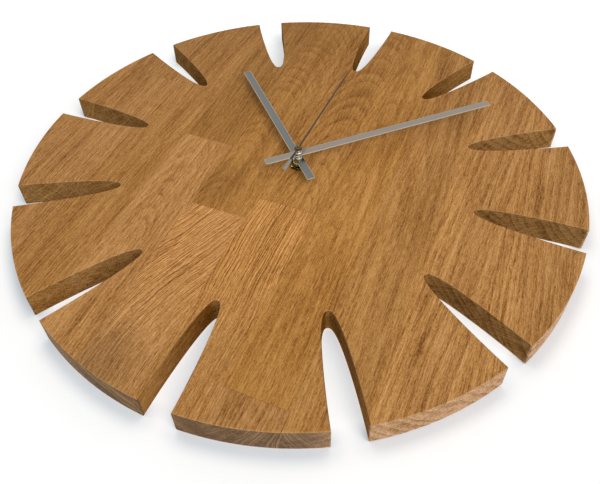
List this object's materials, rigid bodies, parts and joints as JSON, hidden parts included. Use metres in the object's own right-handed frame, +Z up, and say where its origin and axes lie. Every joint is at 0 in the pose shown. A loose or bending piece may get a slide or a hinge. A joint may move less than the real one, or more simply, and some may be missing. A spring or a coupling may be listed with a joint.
{
  "type": "wall clock",
  "caption": "Round oak wall clock with deep rounded hour notches cut in from the rim, slim metal bar hands and a battery movement let into the back.",
  "frame": {"origin": "on the wall plane, where the nail bears in the hanger's keyhole slot", "axes": "+X to the right seen from the front, +Y into the wall, +Z up; the dial faces -Y"},
  "size_m": [0.3994, 0.036, 0.3994],
  "materials": {
    "oiled_oak": "oiled, satin",
    "brushed_aluminium": "brushed",
    "dark_steel": "dark, satin",
    "nickel_plate": "bright plated",
    "dark_brass": "darkened, satin",
    "bright_steel": "satin",
    "zinc_plate": "zinc plated",
    "case_plastic": "moulded, matte",
    "chip_plastic": "matte",
    "gear_plastic": "moulded",
    "rubber": "matte",
    "ferrite": "sintered",
    "copper_wire": "enamelled",
    "circuit_board": "laminate",
    "battery_sleeve": "gloss"
  },
  "bodies": {
    "clock": {"dial_board": "oiled_oak", "hanger_plate": "zinc_plate", "hanger_screw_left": "zinc_plate", "hanger_screw_right": "zinc_plate", "front_case": "case_plastic", "rear_cover": "case_plastic", "threaded_bushing": "dark_brass", "rubber_washer": "rubber", "bushing_nut": "dark_brass", "middle_plate": "gear_plastic", "stator": "bright_steel", "coil_bobbin": "gear_plastic", "coil_winding": "copper_wire", "circuit_board": "circuit_board", "clock_chip": "chip_plastic", "quartz_crystal": "nickel_plate", "positive_contact": "nickel_plate", "negative_contact": "nickel_plate", "battery": "battery_sleeve"},
    "minute_work": {"cannon_pinion": "bright_steel", "minute_hand": "brushed_aluminium", "minute_hand_boss": "nickel_plate", "minute_nut": "nickel_plate"},
    "hour_work": {"hour_wheel": "gear_plastic", "hour_hand": "brushed_aluminium", "hour_hand_boss": "nickel_plate"},
    "motion_work": {"motion_wheel": "gear_plastic", "setting_knob": "case_plastic"},
    "second_work": {"seconds_wheel": "gear_plastic", "seconds_arbor": "bright_steel", "second_hand": "dark_steel", "second_hand_boss": "nickel_plate"},
    "third_work": {"third_wheel": "gear_plastic"},
    "centre_work": {"centre_wheel": "gear_plastic"},
    "intermediate_work": {"intermediate_wheel": "gear_plastic"},
    "rotor_work": {"rotor_pinion": "bright_steel", "rotor_magnet": "ferrite"}
  },
  "joints": [
    {"name": "minute_hand_turn", "type": "hinge", "parent": "clock", "child": "minute_work", "pos_m": [0, 0, -0.1], "axis": [0, 1, 0], "continuous": true},
    {"name": "hour_hand_turn", "type": "hinge", "parent": "clock", "child": "hour_work", "pos_m": [0, 0, -0.1], "axis": [0, 1, 0], "continuous": true},
    {"name": "setting_knob_turn", "type": "hinge", "parent": "clock", "child": "motion_work", "pos_m": [0.00945, 0, -0.10167], "axis": [0, 1, 0], "continuous": true},
    {"name": "second_hand_turn", "type": "hinge", "parent": "clock", "child": "second_work", "pos_m": [0, 0, -0.1], "axis": [0, 1, 0], "continuous": true},
    {"name": "third_wheel_turn", "type": "hinge", "parent": "clock", "child": "third_work", "pos_m": [-0.009, 0, -0.1], "axis": [0, 1, 0], "continuous": true},
    {"name": "centre_wheel_turn", "type": "hinge", "parent": "clock", "child": "centre_work", "pos_m": [0, 0, -0.1], "axis": [0, 1, 0], "continuous": true},
    {"name": "intermediate_wheel_turn", "type": "hinge", "parent": "clock", "child": "intermediate_work", "pos_m": [0, 0, -0.0928], "axis": [0, 1, 0], "continuous": true},
    {"name": "rotor_turn", "type": "hinge", "parent": "clock", "child": "rotor_work", "pos_m": [0.00606, 0, -0.0893], "axis": [0, 1, 0], "continuous": true}
  ],
  "couplings": [
    {"joint": "hour_hand_turn", "follows": "minute_hand_turn", "ratio": 0.083333},
    {"joint": "setting_knob_turn", "follows": "minute_hand_turn", "ratio": -0.33333},
    {"joint": "third_wheel_turn", "follows": "second_hand_turn", "ratio": -0.125},
    {"joint": "centre_wheel_turn", "follows": "second_hand_turn", "ratio": 0.016667},
    {"joint": "intermediate_wheel_turn", "follows": "second_hand_turn", "ratio": -5},
    {"joint": "rotor_turn", "follows": "second_hand_turn", "ratio": 30}
  ]
}
